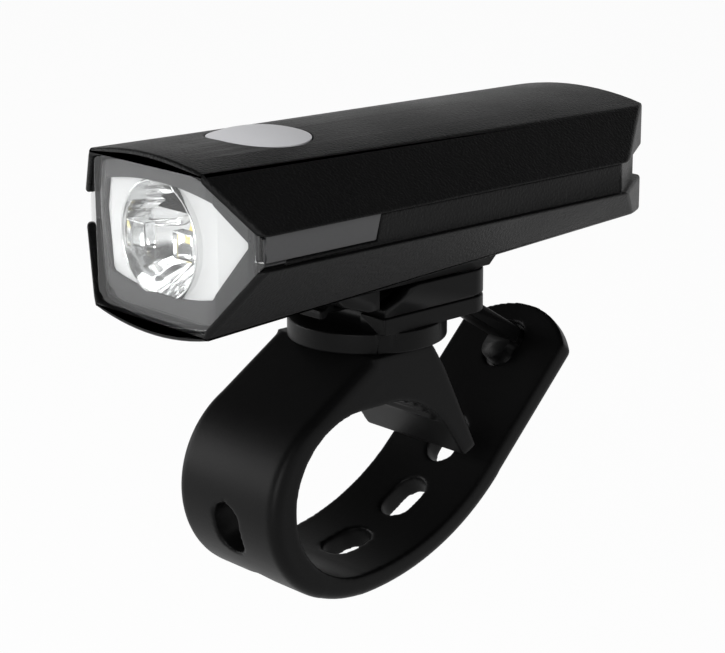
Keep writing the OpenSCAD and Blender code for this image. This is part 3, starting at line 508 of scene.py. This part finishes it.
def silvered(name, grey, roughness, clouding, metallic=1.0):
    """Metal or silver-coated plastic with faint clouds in its gloss."""
    material, tree = new_material(name)
    coordinates = tree.nodes.new("ShaderNodeTexCoord")
    clouds = tree.nodes.new("ShaderNodeTexNoise")
    clouds.inputs["Scale"].default_value = CLOUD_SCALE
    link(tree, coordinates.outputs["Object"], clouds.inputs["Vector"])
    gloss = tree.nodes.new("ShaderNodeMapRange")
    gloss.inputs["To Min"].default_value = roughness * (1 - clouding)
    gloss.inputs["To Max"].default_value = roughness * (1 + clouding)
    link(tree, clouds.outputs["Fac"], gloss.inputs["Value"])
    shader = tree.nodes.new("ShaderNodeBsdfPrincipled")
    shader.inputs["Base Color"].default_value = (grey, grey, grey, 1)
    shader.inputs["Metallic"].default_value = metallic
    link(tree, gloss.outputs["Result"], shader.inputs["Roughness"])
    out = tree.nodes.new("ShaderNodeOutputMaterial")
    link(tree, shader.outputs[0], out.inputs["Surface"])
    return material


SILVER = silvered("reflector_silver", grey=0.5, roughness=0.55, clouding=0.15, metallic=0.0)
dress(SILVER, "reflector")
CHROME = silvered("bowl_chrome", grey=0.85, roughness=0.14, clouding=0.3)
BOWL_R = 0.0082
BOWL_HOLE_R = 0.0026
BOWL_FOCUS = 0.0022
BOWL_RINGS = 60
BOWL_SPOKES = 240
BOWL_SKIN = 0.00003
BEAD_R = 0.0002
BEAD_STEPS = 8
COLLAR_RISE = 0.0009
COLLAR_TO_H = 0.0084
COLLAR_FADE = 0.0012
RELIEF_FADE = 0.0014
FLUTE_FROM = 0.0030
FLUTE_PITCH = 0.0017
FLUTE_DEPTH = 0.00012
BAR_MIDDLE = 0.0016
BAR_HALF = 0.0016
BAR_DEPTH = 0.0007
WEDGE_FROM = -0.0034
WEDGE_ANGLE = math.radians(40)
WEDGE_DEPTH = 0.0007
BOWL_DEPTH = (BOWL_R ** 2 - BOWL_HOLE_R ** 2) / (4 * BOWL_FOCUS)
BOWL_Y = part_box("reflector")[1].y - BOWL_DEPTH
board_low, board_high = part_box("led_board")
BOWL_Z = (board_low.z + board_high.z) / 2


def bowl_relief(h, radius, angle):
    """How far the bowl's optics stand proud: soft flutes above, a round bar across, wedges below."""
    edge = max(0, min(1, (BOWL_R - radius) / RELIEF_FADE, (radius - BOWL_HOLE_R) / RELIEF_FADE))
    if h > FLUTE_FROM:
        turn = math.tau * (h - FLUTE_FROM) / FLUTE_PITCH
        return edge * FLUTE_DEPTH * (1 - math.cos(turn))
    if abs(h - BAR_MIDDLE) < BAR_HALF:
        return edge * BAR_DEPTH * math.cos(math.pi / 2 * (h - BAR_MIDDLE) / BAR_HALF) ** 2
    if h < WEDGE_FROM:
        step = (angle / WEDGE_ANGLE) % 1
        depth = min(1, (WEDGE_FROM - h) / RELIEF_FADE)
        return edge * depth * WEDGE_DEPTH * abs(2 * step - 1)
    return 0.0


def collar_rise(h):
    """The bowl's rim stands proud of the plate, except where the frame lies over it."""
    inside = max(0, min(1, (COLLAR_TO_H - abs(h)) / COLLAR_FADE))
    return COLLAR_RISE * inside * inside * (3 - 2 * inside)


def bowl_mesh():
    """Rings of points from the collar's foot over the bead at the rim to the hole, joined by quads."""
    bm = bmesh.new()
    rings = [(BOWL_R + 2 * BEAD_R, BOWL_Y, 0, False)]
    for i in range(BEAD_STEPS + 1):
        turn = math.pi * i / BEAD_STEPS
        radius = BOWL_R + BEAD_R * (1 + math.cos(turn))
        rings.append((radius, BOWL_Y - BEAD_R * math.sin(turn), 1, False))
    for i in range(1, BOWL_RINGS + 1):
        along = i / BOWL_RINGS
        radius = BOWL_R + (BOWL_HOLE_R - BOWL_R) * along
        depth = (BOWL_R ** 2 - radius ** 2) / (4 * BOWL_FOCUS)
        rings.append((radius, BOWL_Y + depth - BOWL_SKIN, (1 - along) ** 2, True))
    loops = []
    for radius, y, raised, relieved in rings:
        loop = []
        for k in range(BOWL_SPOKES):
            angle = math.tau * k / BOWL_SPOKES
            h = radius * math.sin(angle)
            proud = raised * collar_rise(BOWL_R * math.sin(angle))
            if relieved:
                proud += bowl_relief(h, radius, angle)
            loop.append(bm.verts.new((radius * math.cos(angle), y - proud, BOWL_Z + h)))
        loops.append(loop)
    for outer, inner in zip(loops, loops[1:]):
        for k in range(BOWL_SPOKES):
            j = (k + 1) % BOWL_SPOKES
            face = bm.faces.new((outer[k], outer[j], inner[j], inner[k]))
            face.smooth = True
    mesh = bpy.data.meshes.new("bowl_optics")
    bm.normal_update()
    bm.to_mesh(mesh)
    bm.free()
    return mesh


bowl = add_piece("bowl_optics", bowl_mesh(), CHROME)
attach(bowl, "lamp")


# Light blocks. Two clear blocks stand at the bowl's rim, left and right, and steer light to the side
# windows.
BLOCK_FROM_X = 0.0030
BLOCK_TO_X = 0.0074
BLOCK_LOW = -0.0021
BLOCK_HIGH = 0.0019
BLOCK_FRONT = -0.0009
BLOCK_BACK = 0.0010
BLOCK_EDGE = 0.00025
BLOCK_EDGE_SEGMENTS = 2
BLOCK_CLEAR = clear_plastic("block_clear", color=(0.95, 0.96, 0.96), roughness=0.01, ior=1.45)


def light_blocks():
    bm = bmesh.new()
    for side in (-1, 1):
        ends = sorted((side * BLOCK_FROM_X, side * BLOCK_TO_X))
        v = [
            bm.verts.new((x, BOWL_Y + y, BOWL_Z + z))
            for x in ends
            for y in (BLOCK_FRONT, BLOCK_BACK)
            for z in (BLOCK_LOW, BLOCK_HIGH)
        ]
        for quad in ((0, 1, 3, 2), (4, 6, 7, 5), (0, 4, 5, 1), (2, 3, 7, 6), (0, 2, 6, 4), (1, 5, 7, 3)):
            bm.faces.new([v[i] for i in quad])
    bmesh.ops.recalc_face_normals(bm, faces=bm.faces)
    bmesh.ops.bevel(
        bm, geom=bm.edges, offset=BLOCK_EDGE, segments=BLOCK_EDGE_SEGMENTS, affect="EDGES", profile=0.5
    )
    mesh = bpy.data.meshes.new("light_blocks")
    bm.to_mesh(mesh)
    bm.free()
    return mesh


blocks = add_piece("light_blocks", light_blocks(), BLOCK_CLEAR)
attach(blocks, "lamp")


# Light source: an emitter on its round board, screwed to an aluminium heat sink and wired to the board.
# The leads, the status lights, the washer and the charging socket have their finishes here too.
LED_PHOSPHOR = moulded("led_phosphor", color=(0.85, 0.72, 0.25), roughness=0.3, specular=0.5,
                       grain_scale=3000, grain_depth=0.00001, unevenness=0.1)
ALUMINIUM = silvered("plain_aluminium", grey=0.62, roughness=0.4, clouding=0.3)
STEEL = silvered("plated_steel", grey=0.55, roughness=0.32, clouding=0.3)
LEAD_RED = moulded("lead_red", color=(0.3, 0.02, 0.015), roughness=0.4, specular=0.5,
                   grain_scale=1500, grain_depth=0.00001, unevenness=0.1)
dress(LED_PHOSPHOR, "led_emitter", "status_leds")
dress(ALUMINIUM, "led_board", "heat_sink")
dress(STEEL, "pivot_washer", "usb_socket")
dress(LEAD_RED, "led_leads", "battery_leads")


# Electronics: the board under the roof, its switch with a plunger, and the pouch cell on its pad.
# They are out of sight while the lamp is whole.
BOARD_GREEN = moulded("board_green", color=(0.012, 0.075, 0.035), roughness=0.35, specular=0.5,
                      grain_scale=900, grain_depth=0.00001, unevenness=0.2)
SWITCH_BLACK = moulded("switch_black", color=neutral(0.02), roughness=0.4, specular=0.5,
                       grain_scale=2000, grain_depth=0.00001, unevenness=0.1)
CELL_FOIL = silvered("cell_foil", grey=0.5, roughness=0.35, clouding=0.4)
dress(BOARD_GREEN, "main_pcb")
dress(SWITCH_BLACK, "tact_switch", "switch_plunger")
dress(CELL_FOIL, "battery")


# Screws. Plated machine screws with a hexagon socket and a rolled thread, all made by one tree of nodes.
# Each CAD solid gives a screw its place; the first solid gives them all their head radius and length.
THREAD_PITCH = 0.0005
ROOT_SHARE = 0.85
SOCKET_SHARE = 0.45
SOCKET_DEPTH = 0.6
HEAD_SIDES = 40
SHANK_SIDES = 24
THREAD_STEPS = 20
THREAD_SIDES = 6
SOCKET_SIDES = 6
THREAD_SHARE = 0.8
THREAD_FROM = 0.15
ALONG_Y = 1
ALONG_Z = 2
UPRIGHT = (0, 0, 0)
POINTING_BACK = (math.radians(-90), 0, 0)


def times(tree, value, factor):
    node = tree.nodes.new("ShaderNodeMath")
    node.operation = "MULTIPLY"
    link(tree, value, node.inputs[0])
    node.inputs[1].default_value = factor
    return node.outputs[0]


def raised(tree, geometry, height):
    """Moves geometry along Z."""
    place = tree.nodes.new("ShaderNodeCombineXYZ")
    link(tree, height, place.inputs["Z"])
    move = tree.nodes.new("GeometryNodeTransform")
    link(tree, geometry, move.inputs["Geometry"])
    link(tree, place.outputs[0], move.inputs["Translation"])
    return move.outputs["Geometry"]


def cylinder(tree, sides, radius, depth):
    node = tree.nodes.new("GeometryNodeMeshCylinder")
    node.inputs["Vertices"].default_value = sides
    link(tree, radius, node.inputs["Radius"])
    link(tree, depth, node.inputs["Depth"])
    return node.outputs["Mesh"]


def screw_head(tree, radius, height):
    """A cheese head below its seat at the origin, with a hexagon socket from below."""
    body = raised(tree, cylinder(tree, HEAD_SIDES, radius, height), times(tree, height, -0.5))
    tool_depth = times(tree, height, 2 * SOCKET_DEPTH)
    tool = cylinder(tree, SOCKET_SIDES, times(tree, radius, SOCKET_SHARE), tool_depth)
    tool = raised(tree, tool, times(tree, height, -1))
    cut = tree.nodes.new("GeometryNodeMeshBoolean")
    cut.operation = "DIFFERENCE"
    cut.solver = "EXACT"
    link(tree, body, cut.inputs["Mesh 1"])
    link(tree, tool, cut.inputs["Mesh 2"])
    return cut.outputs["Mesh"]


def screw_thread(tree, radius, length, pitch):
    """A round ridge that winds up the upper part of the shank."""
    height = times(tree, length, THREAD_SHARE)
    turns = tree.nodes.new("ShaderNodeMath")
    turns.operation = "DIVIDE"
    link(tree, height, turns.inputs[0])
    link(tree, pitch, turns.inputs[1])
    root = times(tree, radius, ROOT_SHARE)
    spiral = tree.nodes.new("GeometryNodeCurveSpiral")
    spiral.inputs["Resolution"].default_value = THREAD_STEPS
    link(tree, turns.outputs[0], spiral.inputs["Rotations"])
    link(tree, root, spiral.inputs["Start Radius"])
    link(tree, root, spiral.inputs["End Radius"])
    link(tree, height, spiral.inputs["Height"])
    ridge = tree.nodes.new("GeometryNodeCurvePrimitiveCircle")
    ridge.inputs["Resolution"].default_value = THREAD_SIDES
    link(tree, times(tree, radius, 1 - ROOT_SHARE), ridge.inputs["Radius"])
    sweep = tree.nodes.new("GeometryNodeCurveToMesh")
    sweep.inputs["Fill Caps"].default_value = True
    link(tree, spiral.outputs[0], sweep.inputs["Curve"])
    link(tree, ridge.outputs[0], sweep.inputs["Profile Curve"])
    return raised(tree, sweep.outputs["Mesh"], times(tree, length, THREAD_FROM))


def machine_screw():
    tree = bpy.data.node_groups.new("machine_screw", "GeometryNodeTree")
    for name, kind in (("Geometry", "NodeSocketGeometry"), ("Head Radius", "NodeSocketFloat"),
                       ("Head Height", "NodeSocketFloat"), ("Shank Radius", "NodeSocketFloat"),
                       ("Shank Length", "NodeSocketFloat"), ("Pitch", "NodeSocketFloat"),
                       ("Turn", "NodeSocketVector"), ("Material", "NodeSocketMaterial")):
        tree.interface.new_socket(name, in_out="INPUT", socket_type=kind)
    tree.interface.new_socket("Geometry", in_out="OUTPUT", socket_type="NodeSocketGeometry")
    given = tree.nodes.new("NodeGroupInput").outputs
    head = screw_head(tree, given["Head Radius"], given["Head Height"])
    length = given["Shank Length"]
    root = times(tree, given["Shank Radius"], ROOT_SHARE)
    shank = raised(tree, cylinder(tree, SHANK_SIDES, root, length), times(tree, length, 0.5))
    thread = screw_thread(tree, given["Shank Radius"], length, given["Pitch"])
    whole = tree.nodes.new("GeometryNodeJoinGeometry")
    for piece in (head, shank, thread):
        link(tree, piece, whole.inputs[0])
    turn = tree.nodes.new("FunctionNodeEulerToRotation")
    link(tree, given["Turn"], turn.inputs[0])
    spread = tree.nodes.new("GeometryNodeInstanceOnPoints")
    link(tree, given["Geometry"], spread.inputs["Points"])
    link(tree, whole.outputs[0], spread.inputs["Instance"])
    link(tree, turn.outputs[0], spread.inputs["Rotation"])
    real = tree.nodes.new("GeometryNodeRealizeInstances")
    link(tree, spread.outputs[0], real.inputs[0])
    finish = tree.nodes.new("GeometryNodeSetMaterial")
    link(tree, real.outputs[0], finish.inputs["Geometry"])
    link(tree, given["Material"], finish.inputs["Material"])
    out = tree.nodes.new("NodeGroupOutput")
    link(tree, finish.outputs[0], out.inputs[0])
    return tree


def solid_boxes(node):
    """Low and high corners of each separate solid of a CAD node."""
    bm = bmesh.new()
    bm.from_mesh(nodes[node].data)
    bmesh.ops.remove_doubles(bm, verts=bm.verts, dist=JOIN_DISTANCE)
    seen = set()
    boxes = []
    for first in bm.verts:
        if first in seen:
            continue
        seen.add(first)
        todo = [first]
        corners = []
        while todo:
            vertex = todo.pop()
            corners.append(vertex.co.copy())
            for edge in vertex.link_edges:
                other = edge.other_vert(vertex)
                if other not in seen:
                    seen.add(other)
                    todo.append(other)
        boxes.append((
            Vector(min(c[i] for c in corners) for i in range(3)),
            Vector(max(c[i] for c in corners) for i in range(3)),
        ))
    bm.free()
    return boxes


SCREW = machine_screw()


def add_screws(node, body, head_height, shank_radius, axis, turn):
    """Screws in place of a CAD node's solids, with their heads at the low end of the axis."""
    boxes = solid_boxes(node)
    low, high = boxes[0]
    seats = []
    for start, end in boxes:
        seat = (start + end) / 2
        seat[axis] = start[axis] + head_height
        seats.append(seat)
    mesh = bpy.data.meshes.new(node + "_seats")
    mesh.from_pydata(seats, [], [])
    screws = bpy.data.objects.new(node + "_threaded", mesh)
    scene.collection.objects.link(screws)
    modifier = screws.modifiers.new("screws", "NODES")
    modifier.node_group = SCREW
    values = {
        "Head Radius": (high.x - low.x) / 2,
        "Head Height": head_height,
        "Shank Radius": shank_radius,
        "Shank Length": high[axis] - low[axis] - head_height,
        "Pitch": THREAD_PITCH,
        "Turn": turn,
        "Material": STEEL,
    }
    for socket in SCREW.interface.items_tree:
        if socket.name in values:
            modifier[socket.identifier] = values[socket.name]
    settle(screws)
    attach(screws, body)
    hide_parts(node)


add_screws("pivot_screw", "swivel", head_height=0.0009, shank_radius=0.0014, axis=ALONG_Z, turn=UPRIGHT)
add_screws("foot_screws", "lamp", head_height=0.0011, shank_radius=0.0013, axis=ALONG_Z, turn=UPRIGHT)
add_screws("case_screws", "lamp", head_height=0.0012, shank_radius=0.00095, axis=ALONG_Z, turn=UPRIGHT)
add_screws("pcb_screws", "lamp", head_height=0.0007, shank_radius=0.0008, axis=ALONG_Z, turn=UPRIGHT)
add_screws("led_screws", "lamp", head_height=0.0008, shank_radius=0.0009, axis=ALONG_Y, turn=POINTING_BACK)


# Power button. A dome of light grey silicone that fills its hole in the roof.
# It keeps the CAD's own form.
BUTTON_SILICONE = moulded("button_silicone", color=neutral(0.6), roughness=0.5, specular=0.2,
                          grain_scale=1200, grain_depth=0.00001, unevenness=0.05)
dress(BUTTON_SILICONE, "power_button")


# Charging flap. A small rubber cover over the port at the rear, on two pins.
# Its edges are broken as the bracket's are.
FLAP_EDGE = 0.0002
FLAP_RUBBER = moulded("flap_rubber", color=neutral(0.004), roughness=0.5, specular=0.1,
                      grain_scale=2600, grain_depth=0.00003, unevenness=0.15)
broken_edges("usb_flap_moulded", "usb_flap", "flap", FLAP_RUBBER, FLAP_EDGE)
